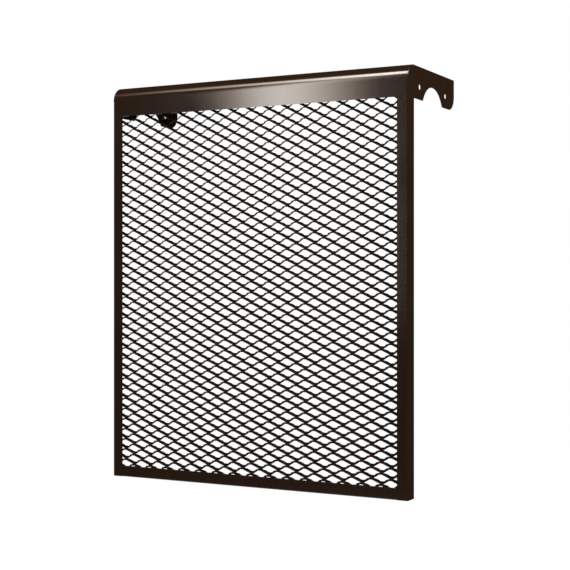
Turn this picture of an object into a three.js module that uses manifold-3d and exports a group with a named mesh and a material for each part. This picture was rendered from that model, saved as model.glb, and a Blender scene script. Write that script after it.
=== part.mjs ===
// Hang-on radiator cover: a sheet-steel hood with two notched ears, a folded frame below it
// and a panel of raised expanded metal behind the frame.
// Millimetres, +X to the right, +Y to the wall, +Z up. The origin is on the underside of the
// shelf, half way along it, above the pipe that the ear notches clear: there the cover rests
// on the radiator.
import * as THREE from "three";
import { mergeVertices } from "three/addons/utils/BufferGeometryUtils.js";
import Module from "manifold-3d";

// Overall size
const WIDTH = 497;
const HEIGHT = 610;
const DEPTH = 185;
const SHEET = 1; // thickness of every bent or flat sheet
const SEAM = 0.3; // room left at each welded seam

// Hood: front lip, roll and shelf, bent from one sheet
const SKIRT = 47; // height of the lip and of the ears
const ROLL_RADIUS = 23; // outside radius between lip and shelf

// Ears: the end plates of the hood
const PIPE_FROM_FRONT = 96; // centre of the pipe notch behind the front face
const NOTCH_RADIUS = 43.5;
const NOTCH_BELOW_TOP = 67; // centre of the notch under the top face
const NOTCH_CORNER = 3; // rounding where the notch meets the lobes
const EAR_HEEL = 22; // big radius at the lower rear corner
const EAR_TIP = 2; // small radius at the upper rear corner
const EAR_HOLE_RADIUS = 3.6;
const EAR_HOLES_FROM_FRONT = [45, 147.5];
const EAR_HOLES_BELOW_TOP = 29;

// Frame: two posts and a bottom rail, all folded from strip
const POST_FACE = 16.5; // width of a post seen from the front
const RAIL_FACE = 17; // height of the rail seen from the front
const FLANGE = 23; // depth of the folded-back legs
const FOLD = 1.5; // outside radius of the folds

// Expanded metal: a sheet slit in rows and drawn out, so each row is a zigzag strip that
// stands on edge and is joined to the strips above and below at the knuckles
const MESH_HALF_LONG = 14.97; // half the long way of a diamond
const MESH_HALF_SHORT = 7.93; // half the short way of a diamond
const STRAND_WIDTH = 4;
const STRAND_THICKNESS = 1;
const KNUCKLE_HALF_LENGTH = 0.9;
const MESH_COLUMNS = 33; // columns of knuckles, half a long way apart
const MESH_ROWS = 71; // rows of knuckles, half a short way apart
const MESH_START_X = 6.3; // first column from the outside of the left post
const MESH_START_Z = 12.7; // first row above the bottom edge
const POINT_REACH = 0.96; // share of a strand left where it is cut at the side, to a point
const EDGE_REACH = 0.8; // share left where it is cut at the top or bottom, to an edge

// Fineness of the arcs: each gets twice this many facets
const ROLL_STEPS = 8;
const EAR_STEPS = 7;
const FOLD_STEPS = 3;

// Places worked out from the sizes
const HALF = WIDTH / 2;
const FRONT = -PIPE_FROM_FRONT;
const REAR = FRONT + DEPTH;
const TOP = SHEET;
const BOTTOM = TOP - HEIGHT;
const SKIRT_END = TOP - SKIRT;
const ROLL_START = TOP - ROLL_RADIUS;
const INSIDE = HALF - SHEET - SEAM; // half the width left between the ears
const BETWEEN_POSTS = HALF - POST_FACE - SEAM;

const wasm = await Module();
wasm.setup();

const brown = { color: 0x2b1d13, roughness: 0.38, metalness: 0.25 };
const blackBrown = { color: 0x1d130c, roughness: 0.45, metalness: 0.25 };

// --- helpers -----------------------------------------------------------------------------

// Turns a shape drawn in (Y, Z) and extruded along its own z so that it runs along +X.
function acrossWidth(shape, from, to, steps) {
  const geometry = new THREE.ExtrudeGeometry(shape, {
    depth: to - from,
    bevelEnabled: false,
    curveSegments: steps,
  });
  geometry.translate(0, 0, from);
  const turn = new THREE.Matrix4().makeBasis(
    new THREE.Vector3(0, 1, 0),
    new THREE.Vector3(0, 0, 1),
    new THREE.Vector3(1, 0, 0),
  );
  return geometry.applyMatrix4(turn);
}

// Extrudes a shape drawn in (X, Y) upwards between two heights.
function upwards(shape, from, to, steps) {
  const geometry = new THREE.ExtrudeGeometry(shape, {
    depth: to - from,
    bevelEnabled: false,
    curveSegments: steps,
  });
  return geometry.translate(0, 0, from);
}

function boxBetween(low, high) {
  const size = high.map((value, axis) => value - low[axis]);
  const middle = high.map((value, axis) => (value + low[axis]) / 2);
  return new THREE.BoxGeometry(...size).translate(...middle);
}

// The space of a post, over the given depth and height, as a block that runs out past the end.
function postSpace(side, [front, rear], [low, high]) {
  const ends = [side * BETWEEN_POSTS, side * WIDTH];
  return boxBetween([Math.min(...ends), front, low], [Math.max(...ends), rear, high]);
}

function toSolid(geometry) {
  const bare = geometry.clone();
  bare.deleteAttribute("normal");
  bare.deleteAttribute("uv");
  const merged = mergeVertices(bare, 1e-4);
  return new wasm.Manifold(
    new wasm.Mesh({
      numProp: 3,
      vertProperties: new Float32Array(merged.attributes.position.array),
      triVerts: new Uint32Array(merged.index.array),
    }),
  );
}

function toGeometry(solid) {
  const mesh = solid.getMesh();
  const geometry = new THREE.BufferGeometry();
  geometry.setAttribute("position", new THREE.BufferAttribute(mesh.vertProperties, 3));
  geometry.setIndex(new THREE.BufferAttribute(mesh.triVerts, 1));
  return geometry;
}

function cut(geometry, ...tools) {
  const left = tools.reduce((solid, tool) => solid.subtract(toSolid(tool)), toSolid(geometry));
  return toGeometry(left);
}

function named(name, geometry, finish) {
  geometry.computeVertexNormals();
  const mesh = new THREE.Mesh(geometry, new THREE.MeshStandardMaterial(finish));
  mesh.name = name;
  return mesh;
}

// --- hood --------------------------------------------------------------------------------

// Section of the bent sheet: up the lip, round the roll, back along the shelf.
function hoodSection() {
  const centreY = FRONT + ROLL_RADIUS;
  const section = new THREE.Shape();
  section.moveTo(FRONT, SKIRT_END);
  section.lineTo(FRONT + SHEET, SKIRT_END);
  section.lineTo(FRONT + SHEET, ROLL_START);
  section.absarc(centreY, ROLL_START, ROLL_RADIUS - SHEET, Math.PI, Math.PI / 2, true);
  section.lineTo(REAR, TOP - SHEET);
  section.lineTo(REAR, TOP);
  section.lineTo(centreY, TOP);
  section.absarc(centreY, ROLL_START, ROLL_RADIUS, Math.PI / 2, Math.PI, false);
  return section;
}

// The roll and the shelf reach from ear to ear; the lip is notched to sit between the posts.
function hood() {
  const sheet = acrossWidth(hoodSection(), -INSIDE, INSIDE, ROLL_STEPS);
  const depth = [FRONT - SHEET, FRONT + FLANGE];
  const height = [SKIRT_END - SHEET, ROLL_START];
  return cut(sheet, postSpace(-1, depth, height), postSpace(1, depth, height));
}

// --- ears --------------------------------------------------------------------------------

// Side plate: a quarter-round nose that closes the roll, a front lobe, the pipe notch and a
// rear lobe with a big round heel.
function earOutline() {
  const notchY = 0;
  const notchZ = TOP - NOTCH_BELOW_TOP;
  const cornerZ = SKIRT_END + NOTCH_CORNER;
  const reach = NOTCH_RADIUS + NOTCH_CORNER;
  const cornerY = Math.sqrt(reach ** 2 - (cornerZ - notchZ) ** 2);
  const lean = Math.atan2(cornerZ - notchZ, cornerY); // where the arcs of the notch touch
  const outline = new THREE.Shape();
  outline.moveTo(FRONT + ROLL_RADIUS, TOP);
  outline.absarc(FRONT + ROLL_RADIUS, ROLL_START, ROLL_RADIUS, Math.PI / 2, Math.PI, false);
  outline.lineTo(FRONT + FLANGE + SEAM, ROLL_START);
  outline.lineTo(FRONT + FLANGE + SEAM, SKIRT_END);
  outline.lineTo(notchY - cornerY, SKIRT_END);
  outline.absarc(notchY - cornerY, cornerZ, NOTCH_CORNER, -Math.PI / 2, -lean, false);
  outline.absarc(notchY, notchZ, NOTCH_RADIUS, Math.PI - lean, lean, true);
  outline.absarc(notchY + cornerY, cornerZ, NOTCH_CORNER, Math.PI + lean, Math.PI * 1.5, false);
  outline.lineTo(REAR - EAR_HEEL, SKIRT_END);
  outline.absarc(REAR - EAR_HEEL, SKIRT_END + EAR_HEEL, EAR_HEEL, -Math.PI / 2, 0, false);
  outline.absarc(REAR - EAR_TIP, TOP - EAR_TIP, EAR_TIP, 0, Math.PI / 2, false);
  for (const fromFront of EAR_HOLES_FROM_FRONT) {
    const hole = new THREE.Path();
    hole.absarc(FRONT + fromFront, TOP - EAR_HOLES_BELOW_TOP, EAR_HOLE_RADIUS, 0, 2 * Math.PI);
    outline.holes.push(hole);
  }
  return outline;
}

function ear(side) {
  const faces = [side * HALF, side * (HALF - SHEET)];
  return acrossWidth(earOutline(), Math.min(...faces), Math.max(...faces), EAR_STEPS);
}

// --- frame -------------------------------------------------------------------------------

// Angle with a rounded fold at the origin corner: one leg along +x, the other along +y.
function angleSection(alongX, alongY) {
  const section = new THREE.Shape();
  section.moveTo(FOLD, 0);
  section.lineTo(alongX, 0);
  section.lineTo(alongX, SHEET);
  section.lineTo(FOLD, SHEET);
  section.absarc(FOLD, FOLD, FOLD - SHEET, -Math.PI / 2, -Math.PI, true);
  section.lineTo(SHEET, alongY);
  section.lineTo(0, alongY);
  section.lineTo(0, FOLD);
  section.absarc(FOLD, FOLD, FOLD, Math.PI, Math.PI * 1.5, false);
  return section;
}

// A post runs from the bottom edge to the start of the roll. Its face looks forward and its
// flange makes the side of the cover.
function post(side) {
  const angle = upwards(angleSection(POST_FACE, FLANGE), BOTTOM, ROLL_START - SEAM, FOLD_STEPS);
  angle.translate(-HALF, FRONT, 0);
  return side < 0 ? angle : mirrored(angle);
}

// The same piece for the other hand: X changes sign and every triangle is turned round.
function mirrored(geometry) {
  const flipped = geometry.clone().scale(-1, 1, 1);
  const positions = flipped.attributes.position;
  const a = new THREE.Vector3();
  const b = new THREE.Vector3();
  for (let first = 0; first < positions.count; first += 3) {
    a.fromBufferAttribute(positions, first);
    b.fromBufferAttribute(positions, first + 1);
    positions.setXYZ(first, b.x, b.y, b.z);
    positions.setXYZ(first + 1, a.x, a.y, a.z);
  }
  return flipped;
}

// The rail's flange lies between the side flanges; its face and fold fit between the posts.
function bottomRail() {
  const angle = acrossWidth(angleSection(FLANGE, RAIL_FACE), -INSIDE, INSIDE, FOLD_STEPS);
  angle.translate(0, FRONT, BOTTOM);
  const depth = [FRONT - SHEET, FRONT + FOLD + SEAM];
  const height = [BOTTOM - SHEET, BOTTOM + 2 * RAIL_FACE];
  return cut(angle, postSpace(-1, depth, height), postSpace(1, depth, height));
}

// --- expanded metal ----------------------------------------------------------------------

// The strips lean back by the angle whose cosine is strand width over half the short way.
// A strand is a prism of triangular section, as wide as the real strip and twice as thick at
// its ridge, so that it holds the same steel with the fewest faces. Four strands meet on the
// four faces of a flat tetrahedron, the knuckle: its front edge carries the strands that
// rise to the right and its rear edge those that fall to the right.
function expandedMetal() {
  const lean = Math.acos(STRAND_WIDTH / MESH_HALF_SHORT);
  const across = [0, Math.sin(lean), Math.cos(lean)]; // along the width of a strip
  const normal = [0, -Math.cos(lean), Math.sin(lean)]; // out of its upper, front face
  const halfWidth = STRAND_WIDTH / 2;
  const proud = halfWidth * across[1] - STRAND_THICKNESS * normal[1];
  const middleY = FRONT + SHEET + SEAM + proud;

  const positions = [];
  const faces = [];
  const addVertex = (centre, alongX, alongWidth, alongNormal) => {
    const point = centre.map(
      (value, axis) => value + alongWidth * across[axis] + alongNormal * normal[axis],
    );
    positions.push(point[0] + alongX, point[1], point[2]);
    return positions.length / 3 - 1;
  };

  const centreOf = (column, row) => [
    -HALF + MESH_START_X + column * MESH_HALF_LONG,
    middleY,
    BOTTOM + MESH_START_Z + row * MESH_HALF_SHORT,
  ];

  // Corners of a knuckle: upper left and lower right in front, lower left and upper right
  // behind.
  const knuckleAt = (centre) => ({
    frontLeft: addVertex(centre, -KNUCKLE_HALF_LENGTH, halfWidth, STRAND_THICKNESS),
    frontRight: addVertex(centre, KNUCKLE_HALF_LENGTH, -halfWidth, STRAND_THICKNESS),
    rearLeft: addVertex(centre, -KNUCKLE_HALF_LENGTH, -halfWidth, -STRAND_THICKNESS),
    rearRight: addVertex(centre, KNUCKLE_HALF_LENGTH, halfWidth, -STRAND_THICKNESS),
  });

  // Joins two triangles, corner to corner, by three sides. Looking along the strand, the
  // corners of each triangle run clockwise.
  const prism = (from, to) => {
    for (let corner = 0; corner < 3; corner += 1) {
      const next = (corner + 1) % 3;
      faces.push(from[corner], from[next], to[next]);
      faces.push(from[corner], to[next], to[corner]);
    }
  };

  // A strand that rises to the right leaves a knuckle by its front edge and rear right corner.
  const risingStart = (k) => [k.frontLeft, k.frontRight, k.rearRight];
  const risingEnd = (k) => [k.frontLeft, k.frontRight, k.rearLeft];
  // A strand that falls to the right leaves by the rear edge and the front right corner.
  const fallingStart = (k) => [k.rearLeft, k.rearRight, k.frontRight];
  const fallingEnd = (k) => [k.rearLeft, k.rearRight, k.frontLeft];

  const lastColumn = MESH_COLUMNS - 1;
  const lastRow = MESH_ROWS - 1;
  const knuckles = new Map();
  const key = (column, row) => column * MESH_ROWS + row;
  for (let column = 1; column < lastColumn; column += 1) {
    for (let row = 1; row < lastRow; row += 1) {
      if ((column + row) % 2 === 1) {
        knuckles.set(key(column, row), knuckleAt(centreOf(column, row)));
      }
    }
  }

  // The sheet is sheared all round, behind the frame. A strand cut at the side runs out to a
  // point, and one cut at the top or bottom to an edge.
  const shearedEnd = (corners, column, row, stepX, stepZ) => {
    const start = centreOf(column, row);
    const end = centreOf(column + stepX, row + stepZ);
    const onSide = column + stepX === 0 || column + stepX === lastColumn;
    const reach = onSide ? POINT_REACH : EDGE_REACH;
    const move = end.map((value, axis) => reach * (value - start[axis]));
    if (onSide) {
      const tip = addVertex(start.map((value, axis) => value + move[axis]), 0, 0, 0);
      for (let corner = 0; corner < 3; corner += 1) {
        faces.push(corners[corner], corners[(corner + 1) % 3], tip);
      }
      return;
    }
    const [a, b, ridge] = corners;
    const moved = (index) => {
      const point = positions.slice(3 * index, 3 * index + 3);
      positions.push(...point.map((value, axis) => value + move[axis]));
      return positions.length / 3 - 1;
    };
    const endA = moved(a);
    const endB = moved(b);
    faces.push(a, b, endB);
    faces.push(a, endB, endA);
    faces.push(b, ridge, endB);
    faces.push(ridge, endA, endB);
    faces.push(ridge, a, endA);
  };

  const reversed = (corners) => [corners[1], corners[0], corners[2]];
  for (let column = 1; column < lastColumn; column += 1) {
    for (let row = 1; row < lastRow; row += 1) {
      const here = knuckles.get(key(column, row));
      if (!here) continue;
      const above = knuckles.get(key(column + 1, row + 1));
      const below = knuckles.get(key(column + 1, row - 1));
      if (above) prism(risingStart(here), risingEnd(above));
      else shearedEnd(risingStart(here), column, row, 1, 1);
      if (below) prism(fallingStart(here), fallingEnd(below));
      else shearedEnd(fallingStart(here), column, row, 1, -1);
      if (!knuckles.get(key(column - 1, row - 1))) {
        shearedEnd(reversed(risingEnd(here)), column, row, -1, -1);
      }
      if (!knuckles.get(key(column - 1, row + 1))) {
        shearedEnd(reversed(fallingEnd(here)), column, row, -1, 1);
      }
    }
  }

  const geometry = new THREE.BufferGeometry();
  geometry.setAttribute("position", new THREE.Float32BufferAttribute(positions, 3));
  geometry.setIndex(faces);
  return geometry;
}

// --- assembly ----------------------------------------------------------------------------

const cover = new THREE.Group();
cover.add(named("hood", hood(), brown));
cover.add(named("ear_left", ear(-1), brown));
cover.add(named("ear_right", ear(1), brown));
cover.add(named("post_left", post(-1), brown));
cover.add(named("post_right", post(1), brown));
cover.add(named("bottom_rail", bottomRail(), brown));
cover.add(named("mesh_panel", expandedMetal(), blackBrown));

export default cover;
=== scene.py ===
# %% [markdown]
# # A hang-on radiator cover
#
# The real thing is a light steel screen that hangs over a cast-iron radiator. A rounded hood
# with a notched ear at each end rests on the columns, a narrow frame hangs from the hood, and
# a panel of expanded metal is welded behind the frame. Everything is covered with a dark
# brown, half-glossy powder coat.
#
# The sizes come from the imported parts, which stay where they are. This script gives each part
# its finished surface: softly rolled edges, the drawn strands of the mesh, and the coat.

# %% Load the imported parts
import math

import bmesh
import bpy
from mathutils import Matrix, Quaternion, Vector, geometry


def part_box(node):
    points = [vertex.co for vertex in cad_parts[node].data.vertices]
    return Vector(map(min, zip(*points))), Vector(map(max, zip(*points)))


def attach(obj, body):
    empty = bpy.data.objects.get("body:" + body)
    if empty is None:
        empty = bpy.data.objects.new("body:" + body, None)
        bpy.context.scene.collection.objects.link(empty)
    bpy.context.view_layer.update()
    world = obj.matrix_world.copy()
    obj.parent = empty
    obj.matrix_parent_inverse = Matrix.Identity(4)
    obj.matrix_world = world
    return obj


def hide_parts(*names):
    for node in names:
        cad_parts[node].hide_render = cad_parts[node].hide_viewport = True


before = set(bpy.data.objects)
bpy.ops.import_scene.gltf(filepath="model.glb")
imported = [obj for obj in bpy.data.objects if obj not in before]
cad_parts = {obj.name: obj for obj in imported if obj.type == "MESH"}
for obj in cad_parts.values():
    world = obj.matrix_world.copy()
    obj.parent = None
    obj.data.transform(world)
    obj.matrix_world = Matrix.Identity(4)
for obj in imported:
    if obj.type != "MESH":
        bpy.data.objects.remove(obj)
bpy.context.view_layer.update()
print("parts:", ", ".join(sorted(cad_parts)))

# %% [markdown]
# ## Sizes
#
# A piece that stands for a part has to lie exactly where the part lies. The main sizes are
# therefore read from the parts' boxes, and only what a box doesn't say is written down here,
# in metres: radii, the notch, the holes.

# %% Sizes
MM = 0.001
hood_low, hood_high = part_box("hood")
ear_low, ear_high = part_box("ear_right")
post_low, post_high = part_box("post_left")
rail_low, rail_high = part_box("bottom_rail")

HALF = ear_high.x
SHEET = ear_high.x - ear_low.x
FRONT, REAR = hood_low.y, hood_high.y
TOP, BOTTOM = hood_high.z, post_low.z
SKIRT_END = hood_low.z
POST_FACE = post_high.x - post_low.x
FLANGE = post_high.y - post_low.y
RAIL_FACE = rail_high.z - rail_low.z
ROLL_RADIUS = FLANGE
ROLL_START = TOP - ROLL_RADIUS

FOLD = 1.5 * MM
EDGE_ROUND = 0.3 * MM
WELD_ROUND = 0.2 * MM  # the ground weld between hood and ear, along the shelf
NOSE_ROUND = 0.6 * MM  # and where it runs into the fold of the post
print(f"sheet {SHEET / MM:.2f} mm, lip {(TOP - SKIRT_END) / MM:.0f} mm, roll {ROLL_RADIUS / MM:.0f} mm")

# %% [markdown]
# ## Calculating with sockets
#
# Shader and geometry trees are sums and products of sockets. Adding each Math node by hand
# hides the formula, so a small class wraps a socket and lets Python's operators add the
# nodes. `1 - mask` works because the reflected operators are there too. Every other node
# comes from one method, which takes the node's type, its settings and its sockets' values.

# %% A socket that Python can calculate with
class Wire:
    """One output socket of a node tree, or the bare tree when there is no socket yet."""

    def __init__(self, tree, socket=None):
        self.tree = tree
        self.socket = socket

    def out(self, name):
        return Wire(self.tree, self.socket.node.outputs[name])

    def plug(self, socket, value):
        if isinstance(value, Wire):
            self.tree.links.new(value.socket, socket)
        else:
            socket.default_value = value

    def node(self, kind, settings=None, sockets=None, output=0):
        """Any other node: its settings come first, then the values or links of its sockets."""
        made = self.tree.nodes.new(kind)
        for name, value in (settings or {}).items():
            if name == "stops":
                set_stops(made.color_ramp, value)
            elif name == "corners":
                set_corners(made.mapping, value)
            else:
                setattr(made, name, value)
        for name, value in (sockets or {}).items():
            self.plug(made.inputs[name], value)
        return Wire(self.tree, made.outputs[output]) if made.outputs else made

    def is_vector(self):
        return self.socket.type == "VECTOR"

    def math(self, operation, *values):
        sides = (self, *values)
        if any(isinstance(side, Wire) and side.is_vector() for side in sides):
            return self.vector_math(operation, *values)
        wanted = dict(enumerate(sides))
        return self.node("ShaderNodeMath", {"operation": operation}, wanted)

    def vector_math(self, operation, *values):
        wanted = dict(enumerate((self, *values)))
        output = "Value" if operation == "DOT_PRODUCT" else "Vector"
        return self.node("ShaderNodeVectorMath", {"operation": operation}, wanted, output)

    def __add__(self, other):
        return self.math("ADD", other)

    __radd__ = __add__

    def __sub__(self, other):
        return self.math("SUBTRACT", other)

    def __rsub__(self, other):
        return (self * -1) + other

    def __mul__(self, other):
        return self.math("MULTIPLY", other)

    __rmul__ = __mul__

    def __truediv__(self, other):
        return self.math("DIVIDE", other)

    def __mod__(self, other):
        return self.math("FLOORED_MODULO", other)

    def __gt__(self, other):
        return self.math("GREATER_THAN", other)

    def __lt__(self, other):
        return self.math("LESS_THAN", other)


# %% Ramps, curves and colours
def set_stops(ramp, stops):
    """Gives a colour ramp its stops: place and colour."""
    while len(ramp.elements) < len(stops):
        ramp.elements.new(0.5)
    for element, (place, colour) in zip(ramp.elements, stops):
        element.position = place
        element.color = colour


def set_corners(mapping, corners):
    """Gives a float curve its corners, from left to right, with straight runs between."""
    points = mapping.curves[0].points
    for place in corners[1:-1]:
        points.new(*place)
    for point, place in zip(points, corners):
        point.location = place
        point.handle_type = "VECTOR"
    mapping.update()


def linear(red, green, blue):
    """A colour read from a chart, 0 to 255, as the light values that a node takes (sRGB rule)."""
    shares = [channel / 255 for channel in (red, green, blue)]
    return tuple(s / 12.92 if s <= 0.04045 else ((s + 0.055) / 1.055) ** 2.4 for s in shares)


# %% [markdown]
# ## The powder coat
#
# Powder coat is dry paint that is melted on in an oven. It flows into a closed film with a
# very fine orange peel, waves about a millimetre and a half wide and a few thousandths high,
# and it is half glossy. A picture of such a surface would have to be unwrapped and would stop
# at its own size, so the peel is noise on the object's own coordinates. A slow noise shifts
# the tone and the gloss by a few percent, as where the film is thicker.

# %% Powder coat
COAT_IOR = 1.6
COAT_SHEEN = (1.0, 0.93, 0.87, 1.0)
TONES = [(0.25, 0.9), (0.5, 1.0), (0.75, 1.1)]  # noise value, share of the coat's colour
PEEL = {"Scale": 650.0, "Detail": 2.0, "Roughness": 0.4}
CLOUD = {"Scale": 16.0, "Detail": 3.0, "Roughness": 0.55}
FILM = {"Scale": 210.0, "Detail": 2.0, "Roughness": 0.5}
CLOUD_IN_TONE = 0.7
CLOUD_IN_GLOSS, FILM_IN_GLOSS = 0.05, 0.03


def powder_coat(name, colour, roughness, specular, peel_height):
    material = bpy.data.materials.new(name)
    material.use_nodes = True
    tree = material.node_tree
    tree.nodes.clear()
    start = Wire(tree)
    place = start.node("ShaderNodeTexCoord", output="Object")
    peel = start.node("ShaderNodeTexNoise", sockets={"Vector": place, **PEEL})
    cloud = start.node("ShaderNodeTexNoise", sockets={"Vector": place, **CLOUD})
    film = start.node("ShaderNodeTexNoise", sockets={"Vector": place, **FILM})
    tones = [(noise, tuple(level * part for part in colour) + (1.0,)) for noise, level in TONES]
    mottle = cloud * CLOUD_IN_TONE + film * (1 - CLOUD_IN_TONE)
    tone = start.node("ShaderNodeValToRGB", {"stops": tones}, {0: mottle})
    gloss = roughness + (cloud - 0.5) * CLOUD_IN_GLOSS + (film - 0.5) * FILM_IN_GLOSS
    waves = start.node(
        "ShaderNodeBump",
        sockets={"Strength": 1.0, "Distance": peel_height, "Height": peel},
    )
    shader = start.node(
        "ShaderNodeBsdfPrincipled",
        sockets={
            "Base Color": tone,
            "Roughness": gloss,
            "Normal": waves,
            "IOR": COAT_IOR,
            "Specular IOR Level": specular,
            "Specular Tint": COAT_SHEEN,
        },
    )
    start.node("ShaderNodeOutputMaterial", sockets={"Surface": shader})
    return material


# %% Two coats
PEEL_HEIGHT = 0.004 * MM
frame_coat = powder_coat(
    "brown powder coat",
    colour=linear(43, 28, 17),
    roughness=0.12,
    specular=0.5,
    peel_height=PEEL_HEIGHT,
)
mesh_coat = powder_coat(
    "dark coat on the mesh",
    colour=linear(34, 20, 9),
    roughness=0.35,
    specular=0.2,
    peel_height=PEEL_HEIGHT,
)
print("coats:", frame_coat.name, "and", mesh_coat.name)

# %% [markdown]
# ## Bent and cut sheet
#
# All rigid pieces are one millimetre sheet, either bent to a section and cut to length, or
# cut flat. Both are the same operation: an outline is filled and drawn out by a distance. A
# stack of boxes would leave seams inside the metal, and a curve with a bevel would round every
# edge. Here only the free edges are rounded, and where two pieces are welded flush the edge
# stays sharp, so that the coat runs over the joint as it does on the real cover.

# %% Outlines
def arc(centre, radius, start, end, steps, end_radius=None):
    """Points on an arc in degrees, both ends included. The radius may change on the way."""
    points = []
    for step in range(steps + 1):
        share = step / steps
        turn = math.radians(start + (end - start) * share)
        reach = radius + ((end_radius or radius) - radius) * share
        points.append((centre[0] + reach * math.cos(turn), centre[1] + reach * math.sin(turn)))
    return points


def across(u, v, reach):
    """Outline in (Y, Z), drawn out along X."""
    return Vector((reach, u, v))


def upwards(u, v, reach):
    """Outline in (X, Y), drawn out along Z."""
    return Vector((u, v, reach))


# %% Solids from outlines
INSIDE_RIMS = 1  # of the triangulation's ways, the one that fills the outline only
SAME_POINT = 1e-6


def stacked(levels):
    """A closed solid from levels, each a list of loops: an outline and then its holes."""
    solid = bmesh.new()
    levels = [[[solid.verts.new(point) for point in loop] for loop in level] for level in levels]
    for low, high in zip(levels, levels[1:]):
        for under, over in zip(low, high):
            for i in range(len(under)):
                solid.faces.new((under[i - 1], under[i], over[i], over[i - 1]))
    for level in (levels[0], levels[-1]):
        fill(solid, level)
    return solid


def fill(solid, loops):
    """Closes one end: a single face, or triangles in (Y, Z) where there are holes.

    A triangle that has all its corners on one hole lies in that hole and is left out.
    """
    if len(loops) == 1:
        solid.faces.new(loops[0])
        return
    corners = [corner for loop in loops for corner in loop]
    loop_of = [number for number, loop in enumerate(loops) for _ in loop]
    rims = []
    for loop in loops:
        first = len(rims)
        rims += [(first + i, first + (i + 1) % len(loop)) for i in range(len(loop))]
    flat = [corner.co.yz for corner in corners]
    found = geometry.delaunay_2d_cdt(flat, rims, [], INSIDE_RIMS, SAME_POINT)
    triangles, came_from = found[2], found[3]
    for triangle in triangles:
        ends = [came_from[i][0] for i in triangle]
        if len({loop_of[end] for end in ends}) > 1 or loop_of[ends[0]] == 0:
            solid.faces.new([corners[end] for end in ends])


def drawn_out(outline, to_space, near, far):
    """An outline drawn out from near to far."""
    return stacked([[[to_space(u, v, reach) for u, v in outline]] for reach in (near, far)])


# %% Rounded edges and finished pieces
SAME_PLACE = 0.01 * MM
SHARP = math.radians(30)


def close(a, b):
    return abs(a - b) < SAME_PLACE


def round_free_edges(solid, is_free, radius=EDGE_ROUND, segments=2):
    """Rounds the sharp edges whose middle passes the test."""
    chosen = []
    for edge in solid.edges:
        middle = (edge.verts[0].co + edge.verts[1].co) / 2
        if edge.calc_face_angle(0) > SHARP and is_free(middle):
            chosen.append(edge)
    bmesh.ops.bevel(
        solid,
        geom=chosen,
        offset=radius,
        offset_type="OFFSET",
        segments=segments,
        profile=0.5,
        affect="EDGES",
        clamp_overlap=True,
    )


def as_piece(name, solid, material):
    """The finished solid as an object: smooth over the bends, crisp at the sheet's edges."""
    bmesh.ops.remove_doubles(solid, verts=solid.verts, dist=SAME_PLACE / 10)
    bmesh.ops.recalc_face_normals(solid, faces=solid.faces)
    mesh = bpy.data.meshes.new(name)
    solid.to_mesh(mesh)
    solid.free()
    mesh.shade_smooth()
    mesh.set_sharp_from_angle(angle=SHARP)
    mesh.materials.append(material)
    piece = bpy.data.objects.new(name, mesh)
    bpy.context.scene.collection.objects.link(piece)
    weigh = piece.modifiers.new("flat faces stay flat", "WEIGHTED_NORMAL")
    weigh.keep_sharp = True
    print(name, len(mesh.polygons), "faces")
    return piece


# %% [markdown]
# ## Hood
#
# Lip, roll and shelf are one sheet, bent over a bar. Roll and shelf are one section, drawn out
# from ear to ear. The lip is a second one and a little shorter, because its ends sit between
# the posts. The two meet flush where the roll starts. One section for all three would need its
# ends cut back, and here nothing has to be cut.

# %% Hood
ROLL_STEPS = 28
ROLL_CENTRE = (FRONT + ROLL_RADIUS, ROLL_START)
INSIDE = HALF - SHEET
BETWEEN_POSTS = HALF - POST_FACE


def roll_and_shelf():
    outside = arc(ROLL_CENTRE, ROLL_RADIUS, 180, 90, ROLL_STEPS) + [(REAR, TOP)]
    inside = [(REAR, TOP - SHEET)] + arc(ROLL_CENTRE, ROLL_RADIUS - SHEET, 90, 180, ROLL_STEPS)
    solid = drawn_out(outside + inside, across, -INSIDE, INSIDE)
    round_free_edges(solid, lambda p: close(p.y, REAR) and abs(p.x) < INSIDE - MM)
    return solid


def lip():
    section = [
        (FRONT, SKIRT_END),
        (FRONT + SHEET, SKIRT_END),
        (FRONT + SHEET, ROLL_START),
        (FRONT, ROLL_START),
    ]
    solid = drawn_out(section, across, -BETWEEN_POSTS, BETWEEN_POSTS)
    round_free_edges(solid, lambda p: close(p.z, SKIRT_END) and abs(p.x) < BETWEEN_POSTS - MM)
    return solid


def joined(first, second):
    """Puts the second solid's faces into the first."""
    copied = bpy.data.meshes.new("copied")
    second.to_mesh(copied)
    second.free()
    first.from_mesh(copied)
    bpy.data.meshes.remove(copied)
    return first


hood = as_piece("bent_hood", joined(roll_and_shelf(), lip()), frame_coat)

# %% [markdown]
# ## Ears
#
# Each end of the hood is closed by a plate cut from flat sheet: a quarter-round nose that
# fits the roll, a lobe, the notch for the radiator's pipe, and a rear lobe with a large round
# heel. The outline is made of straight runs and arcs that touch each other, and the two holes
# are rings inside it. Boolean cuts would give the same shape, but would leave uneven faces round
# the notch. With the outline as a formula, its rounding is the same outline again, drawn in a
# little at each level.

# %% Outline of an ear
NOTCH_CENTRE = (0.0, TOP - 67 * MM)
NOTCH_RADIUS = 43.5 * MM
NOTCH_CORNER = 3 * MM
HEEL = 22 * MM
TIP = 2 * MM
HOLE_RADIUS = 3.6 * MM
HOLES_FROM_FRONT = (45 * MM, 147.5 * MM)
HOLES_BELOW_TOP = 29 * MM
SEAM_Y = FRONT + FLANGE
CORNER_STEPS, NOTCH_STEPS, HEEL_STEPS, HOLE_STEPS = 8, 56, 24, 32
TIP_STEPS, TIP_WELD_STEPS = 4, 3


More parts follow.
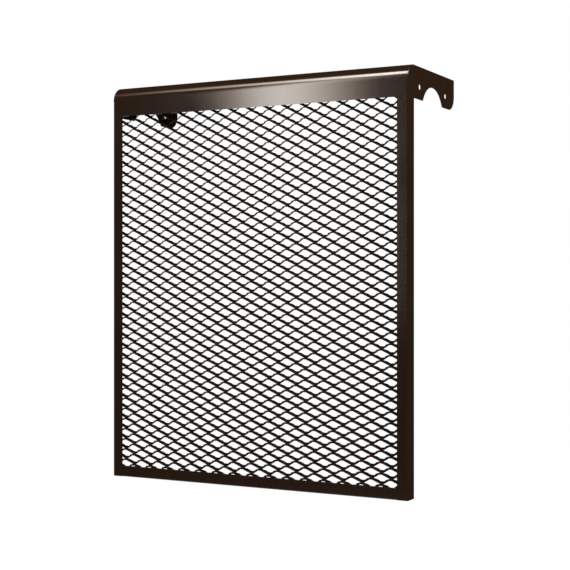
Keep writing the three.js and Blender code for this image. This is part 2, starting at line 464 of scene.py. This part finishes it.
def ear_outline(inset, weld_inset, nose_inset):
    """The outline drawn in by a rounding, which has other sizes over the weld and the nose.

    The rounding of the tip changes to that of the weld between 45 and 60 degrees.
    """
    corner_z = SKIRT_END + NOTCH_CORNER
    drop = corner_z - NOTCH_CENTRE[1]
    reach = math.sqrt((NOTCH_RADIUS + NOTCH_CORNER) ** 2 - drop**2)
    lean = math.degrees(math.atan2(drop, reach))
    front_corner = (NOTCH_CENTRE[0] - reach, corner_z)
    rear_corner = (NOTCH_CENTRE[0] + reach, corner_z)
    heel_centre = (REAR - HEEL, SKIRT_END + HEEL)
    tip_centre = (REAR - TIP, TOP - TIP)
    return (
        arc(ROLL_CENTRE, ROLL_RADIUS - weld_inset, 90, 180, ROLL_STEPS, ROLL_RADIUS - nose_inset)
        + [(SEAM_Y, ROLL_START), (SEAM_Y, SKIRT_END + inset)]
        + arc(front_corner, NOTCH_CORNER - inset, -90, -lean, CORNER_STEPS)
        + arc(NOTCH_CENTRE, NOTCH_RADIUS + inset, 180 - lean, lean, NOTCH_STEPS)
        + arc(rear_corner, NOTCH_CORNER - inset, 180 + lean, 270, CORNER_STEPS)
        + arc(heel_centre, HEEL - inset, -90, 0, HEEL_STEPS)
        + arc(tip_centre, TIP - inset, 0, 45, TIP_STEPS)
        + arc(tip_centre, TIP - weld_inset, 60, 90, TIP_WELD_STEPS)
    )


def hole(from_front, inset):
    centre = (FRONT + from_front, TOP - HOLES_BELOW_TOP)
    return arc(centre, HOLE_RADIUS + inset, 0, 360, HOLE_STEPS)[:-1]


def ear_level(x, inset, weld_inset=0, nose_inset=0):
    loops = [ear_outline(inset, weld_inset, nose_inset)]
    loops += [hole(place, inset) for place in HOLES_FROM_FRONT]
    return [[across(u, v, x) for u, v in loop] for loop in loops]


print("outline of an ear:", len(ear_outline(0, 0, 0)), "points")

# %% Both ears
INNER_TURNS = (0, 45, 90)
OUTER_TURNS = (72, 54, 36, 18, 0)


def ear(side):
    """From the inner face over the rounding of its edge to the outer one and the outer face."""
    levels = []
    for degrees in INNER_TURNS:
        turn = math.radians(degrees)
        depth = (SHEET - NOSE_ROUND) * (1 - math.cos(turn))
        levels.append(ear_level(side * (INSIDE + depth), EDGE_ROUND * (1 - math.sin(turn))))
    for degrees in OUTER_TURNS:
        turn = math.radians(degrees)
        depth = NOSE_ROUND * (1 - math.cos(turn))
        left = 1 - math.sin(turn)
        insets = [size * left for size in (EDGE_ROUND, WELD_ROUND, NOSE_ROUND)]
        levels.append(ear_level(side * (HALF - depth), *insets))
    return stacked(levels)


ears = [
    as_piece("notched_ear_left", ear(-1), frame_coat),
    as_piece("notched_ear_right", ear(1), frame_coat),
]

# %% [markdown]
# ## Posts and rail
#
# The frame is folded from strip. A post's face looks forward and its flange closes the side;
# the rail's flange turns back under the mesh. The outside radius of the fold is one and a half
# times the sheet, which is about as tight as steel of this thickness bends without cracking.

# %% An angle
FOLD_STEPS = 10


def angle_section(face, flange):
    """Angle with its fold at the origin: one leg along +u, the other along +v."""
    bend = (FOLD, FOLD)
    inner = arc(bend, FOLD - SHEET, -90, -180, FOLD_STEPS)
    outer = arc(bend, FOLD, 180, 270, FOLD_STEPS)
    return [(face, 0), (face, SHEET)] + inner + [(SHEET, flange), (0, flange)] + outer


# %% Posts
def post(side):
    section = [(x - HALF, y + FRONT) for x, y in angle_section(POST_FACE, FLANGE)]
    solid = drawn_out(section, upwards, BOTTOM, ROLL_START)
    round_free_edges(
        solid,
        lambda p: not close(p.z, ROLL_START)
        and not (close(p.y, SEAM_Y) and p.z > SKIRT_END)
        and not (p.z > SKIRT_END and close(p.x, POST_FACE - HALF)),
    )
    if side > 0:
        bmesh.ops.scale(solid, verts=solid.verts, vec=(-1, 1, 1))
        bmesh.ops.reverse_faces(solid, faces=solid.faces)
    return solid


posts = [
    as_piece("folded_post_left", post(-1), frame_coat),
    as_piece("folded_post_right", post(1), frame_coat),
]


# %% Rail
def bottom_rail():
    section = [(y + FRONT, z + BOTTOM) for y, z in angle_section(FLANGE, RAIL_FACE)]
    solid = drawn_out(section, across, -BETWEEN_POSTS, BETWEEN_POSTS)
    round_free_edges(solid, lambda p: abs(p.x) < BETWEEN_POSTS - MM)
    return solid


def flange_end(side):
    """The rail's flange runs on behind the post's face, up to the post's flange."""
    near, far = FRONT + FOLD, FRONT + FLANGE
    outline = [(near, BOTTOM), (far, BOTTOM), (far, BOTTOM + SHEET), (near, BOTTOM + SHEET)]
    return drawn_out(outline, across, side * BETWEEN_POSTS, side * INSIDE)


whole_rail = joined(joined(bottom_rail(), flange_end(-1)), flange_end(1))
rail = as_piece("folded_rail", whole_rail, frame_coat)

# %% [markdown]
# ## Expanded metal
#
# A steel sheet is slit in rows, and a press draws the rows apart. What was one plane becomes a
# stack of zigzag strips standing on edge. Each strip is joined to the strip above and to the
# strip below in turn, at short bridges, and between the bridges it climbs or falls as a strand.
# A strand's front edge goes nearly straight from bridge to bridge. Its rear edge climbs sooner
# and then hangs back below the upper bridge, so that each strand is twisted.
#
# So one rule makes the whole panel: a point on a strip is known from how far along it is, which
# strip it is on, and which corner of the strip's section it is. Drawing diamonds and giving
# them thickness would be simpler, but it would lose the lean and the twist that make one
# family of strands look thick and the other thin. The tree has named inputs for its sizes.

# %% A tree with named inputs
PANEL_INPUTS = {
    "Half Long Way": "Float",
    "Half Short Way": "Float",
    "Strand Width": "Float",
    "Strand Thickness": "Float",
    "Bridge Length": "Float",
    "Columns": "Int",
    "Strips": "Int",
    "First Bridge": "Vector",
    "Coat": "Material",
}


def tree_with_inputs(name, inputs):
    tree = bpy.data.node_groups.new(name, "GeometryNodeTree")
    tree.interface.new_socket("Geometry", in_out="OUTPUT", socket_type="NodeSocketGeometry")
    for label, kind in inputs.items():
        tree.interface.new_socket(label, in_out="INPUT", socket_type="NodeSocket" + kind)
    return tree


# %% [markdown]
# ### Flat strips
#
# Every strip starts as the same flat grid. Across, it has a row of points for each corner of
# the strip's section, with the first corner once more at the end. Along, it has a few parts
# from one bridge to the next, and one more at either end, which becomes the cut end's face.
# The instances keep their number, and each point keeps its place on the grid, because the
# bending that follows needs both.

# %% Flat strips
STRAND_STEPS = 6
PARTS_PER_PITCH = STRAND_STEPS + 2  # and half a bridge at each end
SECTION_CORNERS = 4


def flat_strips(start, strips, last):
    """All strips in one place. The last bridge lies so many parts from the first."""
    flat = start.node(
        "GeometryNodeMeshGrid",
        sockets={
            "Size X": last + 2,
            "Size Y": float(SECTION_CORNERS),
            "Vertices X": last + 3,
            "Vertices Y": SECTION_CORNERS + 1,
        },
    )
    stack = start.node(
        "GeometryNodeMeshLine", sockets={"Count": strips, "Offset": (0.0, 0.0, 0.0)}
    )
    copies = start.node("GeometryNodeInstanceOnPoints", sockets={"Points": stack, "Instance": flat})
    numbered = start.node(
        "GeometryNodeStoreNamedAttribute",
        {"data_type": "INT", "domain": "INSTANCE"},
        {"Geometry": copies, "Name": "strip", "Value": start.node("GeometryNodeInputIndex")},
    )
    loose = start.node("GeometryNodeRealizeInstances", sockets={"Geometry": numbered})
    spot = start.node("GeometryNodeInputPosition")
    spot = spot.node("ShaderNodeSeparateXYZ", sockets={0: spot})
    kept = start.node("GeometryNodeCaptureAttribute")
    capture = kept.socket.node
    capture.capture_items.new("FLOAT", "along")
    capture.capture_items.new("FLOAT", "corner")
    start.plug(capture.inputs["Geometry"], loose)
    start.plug(capture.inputs["along"], spot.out("X") + last / 2)
    start.plug(capture.inputs["corner"], spot.out("Y") + SECTION_CORNERS / 2)
    return kept


# %% [markdown]
# ### The zigzag
#
# A bridge sits up on even sums of column and strip, and down on odd ones, so that neighbouring
# strips meet. Between two bridges the climb of each edge is a curve with a few corners, read
# from the lower bridge to the upper one. A curve with corners needs fewer steps than a smooth
# one, which matters in a panel of more than two thousand strands.

# %% The zigzag
# Share of the way from the lower bridge to the upper one, share of the climb
FRONT_EDGE = [(0.0, 0.0), (0.12, 0.0), (1.0, 1.0)]
REAR_EDGE = [(0.0, 0.0), (0.1, 0.0), (0.35, 0.45), (0.6, 0.67), (0.8, 0.7), (1.0, 1.0)]
A_HAIR = 0.0001  # keeps a whole number from being rounded down to the one below


def zigzag(start, given, along, corner, strip):
    """Where a point lies across the panel, how far up to the next row, and which way it climbs."""
    half_long, bridge = given.out("Half Long Way"), given.out("Bridge Length")
    column = (along / PARTS_PER_PITCH + A_HAIR).math("FLOOR")
    part = along - column * PARTS_PER_PITCH
    step = (part - 1).math("MAXIMUM", 0.0).math("MINIMUM", STRAND_STEPS)
    share = step / STRAND_STEPS
    past_bridge = bridge / 2 + share * (half_long - bridge)
    x = column * half_long + (part > 0.5) * past_bridge
    is_low = (column + strip) % 2
    climbed = share + (1 - is_low) * (1 - share * 2)
    front = start.node("ShaderNodeFloatCurve", {"corners": FRONT_EDGE}, {"Value": climbed})
    rear = start.node("ShaderNodeFloatCurve", {"corners": REAR_EDGE}, {"Value": climbed})
    height_up = front + (rear - front) * is_rear(corner)
    is_strand = (step > 0.5) * (step < STRAND_STEPS - 0.5)
    return x, height_up, is_strand * (is_low * 2 - 1)


def is_rear(corner):
    """The corners go round the section: 1 and 2 at the rear, 2 and 3 on top, and 4 is 0 again."""
    return (corner > 0.5) * (corner < 2.5)


def is_top(corner):
    return (corner > 1.5) * (corner < 3.5)


# %% [markdown]
# ### The lean
#
# Drawing the sheet out turns the strips over. A strip stays as wide as it was slit, and the
# rows stay one above the other, so the width against half a diamond gives the lean. Thickness
# goes straight through the strip, and on a strand it turns with the slope.

# %% The lean
def leaning(given, x, height_up, uphill, corner, strip, is_end):
    """The point in space. At the two cut ends of a strip all corners meet in the middle."""
    half_long, half_short = given.out("Half Long Way"), given.out("Half Short Way")
    width, thickness = given.out("Strand Width"), given.out("Strand Thickness")
    cosine = width / half_short
    sine = (1 - cosine * cosine).math("SQRT")
    draw = sine * half_short
    slope = draw / (half_long - given.out("Bridge Length"))
    steepness = (slope * uphill).math("ARCTANGENT")
    size = 1 - is_end
    back = width / 2 * (1 + (is_rear(corner) * 2 - 1) * size)
    through = thickness / 2 * (is_top(corner) * 2 - 1) * size
    rise = draw * height_up + through * steepness.math("COSINE")
    place = {
        "X": x - through * steepness.math("SINE"),
        "Y": back * sine - rise * cosine,
        "Z": strip * half_short + back * cosine + rise * sine,
    }
    return given.node("ShaderNodeCombineXYZ", sockets=place) + given.out("First Bridge")


# %% [markdown]
# ### One closed sheet
#
# Two strips touch at a bridge. The two faces between them are taken away and the rims merged,
# which leaves one closed sheet with no walls inside it. The place of a face is the mean of its
# corners' places: half a part from the middle of its bridge, and one and a half or three and a
# half on the way round the section.

# %% Walls inside the bridges
def wall_inside(along, corner, height_up, strip, last, strips):
    from_bridge = (along + PARTS_PER_PITCH / 2) % PARTS_PER_PITCH - PARTS_PER_PITCH / 2
    on_bridge = (from_bridge.math("ABSOLUTE") < 0.9) * (along > 0.1) * (along < last - 0.1)
    is_upper_face = (corner > 1.4) * (corner < 1.6)
    is_lower_face = (corner > 3.4) * (corner < 3.6)
    joins_above = is_upper_face * (height_up > 0.9) * (strip < strips - 1.5)
    joins_below = is_lower_face * (height_up < 0.1) * (strip > 0.5)
    return on_bridge * (joins_above + joins_below)


# %% The tree for the expanded metal
STRAND_CREASE = math.radians(50)  # a sharper edge is left crisp


def expanded_metal_tree():
    tree = tree_with_inputs("expanded metal", PANEL_INPUTS)
    start = Wire(tree)
    given = start.node("NodeGroupInput")
    last = (given.out("Columns") - 1) * PARTS_PER_PITCH
    strips = given.out("Strips")
    flat = flat_strips(start, strips, last)
    corner = flat.out("corner")
    along = flat.out("along").math("MAXIMUM", 0.0).math("MINIMUM", last)
    is_end = (flat.out("along") < -0.5) + (flat.out("along") > last + 0.5)
    strip = start.node(
        "GeometryNodeInputNamedAttribute", {"data_type": "INT"}, {"Name": "strip"}, "Attribute"
    )
    x, height_up, uphill = zigzag(start, given, along, corner, strip)
    place = leaning(given, x, height_up, uphill, corner, strip, is_end)
    shaped = start.node("GeometryNodeSetPosition", sockets={"Geometry": flat, "Position": place})
    wall = wall_inside(flat.out("along"), corner, height_up, strip, last, strips)
    opened = start.node(
        "GeometryNodeDeleteGeometry",
        {"domain": "FACE", "mode": "ALL"},
        {"Geometry": shaped, "Selection": wall},
    )
    welded = start.node(
        "GeometryNodeMergeByDistance", sockets={"Geometry": opened, "Distance": SAME_PLACE}
    )
    smooth = start.node(
        "GeometryNodeSetShadeSmooth", {"domain": "FACE"}, {"Geometry": welded, "Shade Smooth": True}
    )
    fold = start.node("GeometryNodeInputMeshEdgeAngle")
    crisp = start.node(
        "GeometryNodeSetShadeSmooth",
        {"domain": "EDGE"},
        {"Geometry": smooth, "Selection": fold > STRAND_CREASE, "Shade Smooth": False},
    )
    real = start.node("GeometryNodeRealizeInstances", sockets={"Geometry": crisp})
    coated = start.node(
        "GeometryNodeSetMaterial", sockets={"Geometry": real, "Material": given.out("Coat")}
    )
    start.node("NodeGroupOutput", sockets={"Geometry": coated})
    print("the tree for the expanded metal:", len(tree.nodes), "nodes")
    return tree


# %% [markdown]
# ## Setting the panel's sizes
#
# The diamonds are 30 by 16 millimetres, a stock size. The sheet is sheared all round behind
# the frame, so the first bridges lie behind the left post and the rail. A strip stays as wide
# as it was slit, so the wider it is for its diamond, the less it leans back from upright.

# %% The panel's sizes
MESH_HALF_LONG = 14.967 * MM
MESH_HALF_SHORT = 7.929 * MM
STRAND_WIDTH = 4.5 * MM
STRAND_THICKNESS = 1.05 * MM
BRIDGE_LENGTH = 4.1 * MM
MESH_COLUMNS = 33
MESH_STRIPS = 70
FIRST_COLUMN_X = -HALF + 6.15 * MM
FIRST_ROW_Z = BOTTOM + 12.7 * MM
STRIP_LEAN = math.acos(STRAND_WIDTH / MESH_HALF_SHORT)
WELD_GAP = 0.3 * MM
MESH_PLANE_Y = FRONT + SHEET + STRAND_WIDTH * math.sin(STRIP_LEAN) + WELD_GAP
print(f"the strips lean back {math.degrees(STRIP_LEAN):.0f} degrees from upright")


# %% The panel
def set_inputs(modifier, values):
    """Inputs are set by the socket's identifier, before the object is first evaluated."""
    for item in modifier.node_group.interface.items_tree:
        if item.in_out == "INPUT" and item.name in values:
            modifier[item.identifier] = values[item.name]


def expanded_metal():
    carrier = bpy.data.objects.new("mesh_carrier", bpy.data.meshes.new("empty"))
    bpy.context.scene.collection.objects.link(carrier)
    maker = carrier.modifiers.new("expanded metal", "NODES")
    maker.node_group = expanded_metal_tree()
    set_inputs(
        maker,
        {
            "Half Long Way": MESH_HALF_LONG,
            "Half Short Way": MESH_HALF_SHORT,
            "Strand Width": STRAND_WIDTH,
            "Strand Thickness": STRAND_THICKNESS,
            "Bridge Length": BRIDGE_LENGTH,
            "Columns": MESH_COLUMNS,
            "Strips": MESH_STRIPS,
            "First Bridge": (FIRST_COLUMN_X, MESH_PLANE_Y, FIRST_ROW_Z),
            "Coat": mesh_coat,
        },
    )
    graph = bpy.context.evaluated_depsgraph_get()
    mesh = bpy.data.meshes.new_from_object(carrier.evaluated_get(graph))
    mesh.name = "expanded_metal"
    bpy.data.objects.remove(carrier)
    panel = bpy.data.objects.new("expanded_metal", mesh)
    bpy.context.scene.collection.objects.link(panel)
    return panel


panel = expanded_metal()
print("expanded metal:", len(panel.data.polygons), "faces")

# %% [markdown]
# ## Each piece on its part
#
# The cover is one rigid body. Each finished piece rides on it and takes the place of the plain part
# that it was made from.

# %% Ride and replace
standing_for = {
    hood: ("frame_coat", "hood"),
    ears[0]: ("frame_coat", "ear_left"),
    ears[1]: ("frame_coat", "ear_right"),
    posts[0]: ("frame_coat", "post_left"),
    posts[1]: ("frame_coat", "post_right"),
    rail: ("frame_coat", "bottom_rail"),
    panel: ("mesh_coat", "mesh_panel"),
}
for piece, (coat, part) in standing_for.items():
    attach(piece, "root")
    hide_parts(part)
print(len(standing_for), "pieces ride on the cover")

# %% [markdown]
# ## Camera
#
# The picture was taken from the front right, level, at about the height of the cover's middle.
# The camera is held level, which keeps the posts parallel, and a small shift lowers the frame,
# as a view camera does, in place of a tilt that would make the posts lean. A long lens from
# nearly two metres away leaves the near end only a little taller than the far one.

# %% Camera
CAMERA_PLACE = (0.91245, -1.7276, -0.3019)
CAMERA_TURN = math.radians(27.70)
LENS, SENSOR = 79.75, 36.0  # millimetres
PICTURE_WIDTH = 570  # pixels
SHIFT_DOWN = 4.9 / PICTURE_WIDTH

lens = bpy.data.cameras.new("camera")
lens.lens = LENS
lens.sensor_width = SENSOR
lens.shift_y = -SHIFT_DOWN
camera = bpy.data.objects.new("camera", lens)
camera.location = CAMERA_PLACE
camera.rotation_euler = (math.radians(90), 0, CAMERA_TURN)
bpy.context.scene.collection.objects.link(camera)
bpy.context.scene.camera = camera
print(f"camera: {camera.location.length:.2f} m from the middle of the shelf")

# %% [markdown]
# ## Studio
#
# A glossy dark coat shows its surroundings more than its own colour. The room is therefore
# even and plain for the coat's colour, dim in the coat's mirror image, and holds three soft
# boxes: a tall strip at the front left that lights up the middle of the lip, a wide box high on
# the left that draws the thin line along the roll, and a large one for the ear and the side. The
# last hangs high on the right, above everything that the upright folds mirror.
#
# A real soft box is brightest in its middle and fades to its edges, so the two lamps that are
# mirrored fade across their own faces, and faster in blue than in red, which makes their edges
# warm. Hard-edged lamps would leave hard-edged stripes.

# %% Soft boxes
AIM = Vector((0, FRONT, -0.03))
SIDE_AIM = Vector((0, 0, -0.3))
WARM_EDGE = (1.0, 1.1, 1.18)  # powers of the glow for red, green and blue


def direction(left, up):
    """From the cover towards the room: degrees to the picture's left, and up."""
    left, up = math.radians(left), math.radians(up)
    return Vector((-math.sin(left) * math.cos(up), -math.cos(left) * math.cos(up), math.sin(up)))


def fade(place, dark, bright):
    """A soft step from 0 where the place is dark to 1 where it is bright."""
    step = {"Value": place, "From Min": dark, "From Max": bright}
    return place.node("ShaderNodeMapRange", {"interpolation_type": "SMOOTHSTEP"}, step)


def soft_box(name, left, up, distance, wide, tall, watts, aim=AIM, lean=0, glow=None):
    """A lamp that faces the aim, with its top leaning by degrees to the picture's left.

    The glow takes the share of the way from left to right and the share of the way up.
    """
    light = bpy.data.lights.new(name, "AREA")
    light.shape = "RECTANGLE"
    light.size = wide
    light.size_y = tall
    light.energy = watts
    if glow:
        light.use_nodes = True
        light.node_tree.nodes.clear()
        start = Wire(light.node_tree)
        face = start.node("ShaderNodeNewGeometry", output="Parametric")
        corner = face.node("ShaderNodeSeparateXYZ", sockets={0: face})
        strength = glow(corner.out("X"), corner.out("Y"))
        names = ("Red", "Green", "Blue")
        powers = zip(names, WARM_EDGE)
        channels = {channel: strength.math("POWER", power) for channel, power in powers}
        colour = start.node("ShaderNodeCombineColor", sockets=channels)
        shine = start.node("ShaderNodeEmission", sockets={"Color": colour, "Strength": 1.0})
        start.node("ShaderNodeOutputLight", sockets={"Surface": shine})
    lamp = bpy.data.objects.new(name, light)
    lamp.location = aim + direction(left, up) * distance
    facing = (-direction(left, up)).to_track_quat("-Z", "Y")
    upright = facing @ Quaternion((0, 0, 1), math.radians(lean))
    lamp.rotation_euler = upright.to_euler()
    lamp.visible_camera = False
    bpy.context.scene.collection.objects.link(lamp)
    print(f"{name}: {wide:.2f} by {tall:.2f} m, {watts} W, {distance} m away")
    return lamp


# %% Three lamps
def strip_glow(across, upwards):
    """Soft at both sides, cut short at the foot and dying away slowly to the top."""
    sides = fade(across, dark=0.0, bright=0.4) * fade(across, dark=0.98, bright=0.4)
    foot = fade(upwards, dark=0.0, bright=0.1)
    return sides * foot * fade(upwards, dark=1.25, bright=0.5)


def line_glow(across, upwards):
    """Grows towards the right, where its soft upper edge also climbs."""
    growth = across.math("POWER", 1.6)
    top = across * 0.2 + 0.8
    return growth * fade(upwards, dark=0.0, bright=0.3) * fade(upwards, dark=top, bright=top - 0.3)


soft_box(
    "strip front left",
    left=27,
    up=18.5,
    distance=3.0,
    wide=0.685,
    tall=3.0,
    watts=72,
    lean=6,
    glow=strip_glow,
)
soft_box(
    "box high left",
    left=49,
    up=51.3,
    distance=1.4,
    wide=0.87,
    tall=0.67,
    watts=39,
    lean=30,
    glow=line_glow,
)
soft_box(
    "box high right", left=-85, up=40, distance=2.6, wide=1.4, tall=1.1, watts=78, aim=SIDE_AIM
)

# %% [markdown]
# ## World
#
# The white background is the world as the camera sees it. The backdrop stands only behind the
# cover, so what is mirrored shows it white in those directions. Elsewhere it shows the dim
# room, which is brightest on the camera's side. A world that is white for every ray would be
# simpler, but it would turn the dark glossy lip grey.

# %% World
BACKDROP_TOWARDS = Vector((-math.sin(CAMERA_TURN), math.cos(CAMERA_TURN), 0))
BACKDROP_EDGE = math.cos(math.radians(16))
BACKDROP_SOFTNESS = 0.02
ROOM_COLOUR = (1.0, 0.98, 0.96, 1.0)
ROOM_LIGHT = 0.07
ROOM_IN_GLOSS = 0.045
WHITE = (1.0, 1.0, 1.0, 1.0)


def studio_world():
    world = bpy.data.worlds.new("studio")
    world.use_nodes = True
    tree = world.node_tree
    tree.nodes.clear()
    start = Wire(tree)
    rays = start.node("ShaderNodeLightPath")
    towards = start.node("ShaderNodeTexCoord", output="Generated")
    facing = towards.math("DOT_PRODUCT", tuple(BACKDROP_TOWARDS))
    backdrop = fade(
        facing, dark=BACKDROP_EDGE - BACKDROP_SOFTNESS, bright=BACKDROP_EDGE + BACKDROP_SOFTNESS
    )
    mirrored = rays.out("Is Glossy Ray")
    sees_white = rays.out("Is Camera Ray").math("MAXIMUM", rays.out("Is Transmission Ray"))
    sees_white = sees_white.math("MAXIMUM", mirrored * backdrop)
    mirror_image = fade(facing, dark=1.1, bright=-0.5) * ROOM_IN_GLOSS
    room = start.node(
        "ShaderNodeBackground",
        sockets={
            "Color": ROOM_COLOUR,
            "Strength": ROOM_LIGHT + mirrored * (mirror_image - ROOM_LIGHT),
        },
    )
    white = start.node("ShaderNodeBackground", sockets={"Color": WHITE, "Strength": 1.0})
    mixed = start.node("ShaderNodeMixShader", sockets={0: sees_white, 1: room, 2: white})
    start.node("ShaderNodeOutputWorld", sockets={"Surface": mixed})
    world.cycles.sampling_method = "NONE"  # an even room needs no map of its bright places
    return world


bpy.context.scene.world = studio_world()
bpy.context.scene.view_settings.view_transform = "Standard"
print("world:", bpy.context.scene.world.name)

# %% [markdown]
# ## Floor
#
# A round sheet of card lies 16 centimetres under the cover, which hangs in the air as it does
# on its radiator. The lamps find it pale grey, so that not much light comes back up from it. To
# the camera, and where it is mirrored, the card adds its own white: it runs into the backdrop
# without a line and keeps only the cover's soft shadow.

# %% Card
CARD_GREYS = [(0.6, 0.6, 0.6, 1.0), (0.64, 0.64, 0.64, 1.0)]
CARD_FIBRES = 400.0  # per metre
OWN_WHITE = 1.13  # a little over 1, for the share that is still grey card
OWN_WHITE_SHARE = 0.85


def white_card():
    material = bpy.data.materials.new("white card")
    material.use_nodes = True
    tree = material.node_tree
    tree.nodes.clear()
    start = Wire(tree)
    rays = start.node("ShaderNodeLightPath")
    seen = rays.out("Is Camera Ray").math("MAXIMUM", rays.out("Is Transmission Ray"))
    seen = seen.math("MAXIMUM", rays.out("Is Glossy Ray"))
    place = start.node("ShaderNodeTexCoord", output="Object")
    fibre = start.node("ShaderNodeTexNoise", sockets={"Vector": place, "Scale": CARD_FIBRES})
    stops = [(0.0, CARD_GREYS[0]), (1.0, CARD_GREYS[1])]
    grey = start.node("ShaderNodeValToRGB", {"stops": stops}, {0: fibre})
    card = start.node("ShaderNodeBsdfDiffuse", sockets={"Color": grey})
    glow = start.node("ShaderNodeEmission", sockets={"Color": WHITE, "Strength": OWN_WHITE})
    share = seen * OWN_WHITE_SHARE
    mixed = start.node("ShaderNodeMixShader", sockets={0: share, 1: card, 2: glow})
    start.node("ShaderNodeOutputMaterial", sockets={"Surface": mixed})
    return material


# %% Floor
FLOOR_GAP = 0.16
FLOOR_RADIUS = 0.8
FLOOR_FACETS = 96


def floor():
    disc = bmesh.new()
    bmesh.ops.create_circle(disc, cap_ends=True, radius=FLOOR_RADIUS, segments=FLOOR_FACETS)
    bmesh.ops.translate(disc, verts=disc.verts, vec=(0, 0, BOTTOM - FLOOR_GAP))
    mesh = bpy.data.meshes.new("floor")
    disc.to_mesh(mesh)
    disc.free()
    mesh.materials.append(white_card())
    card = bpy.data.objects.new("floor", mesh)
    bpy.context.scene.collection.objects.link(card)
    return card


floor()
print(f"floor: a card {2 * FLOOR_RADIUS} m across, {FLOOR_GAP} m under the cover")
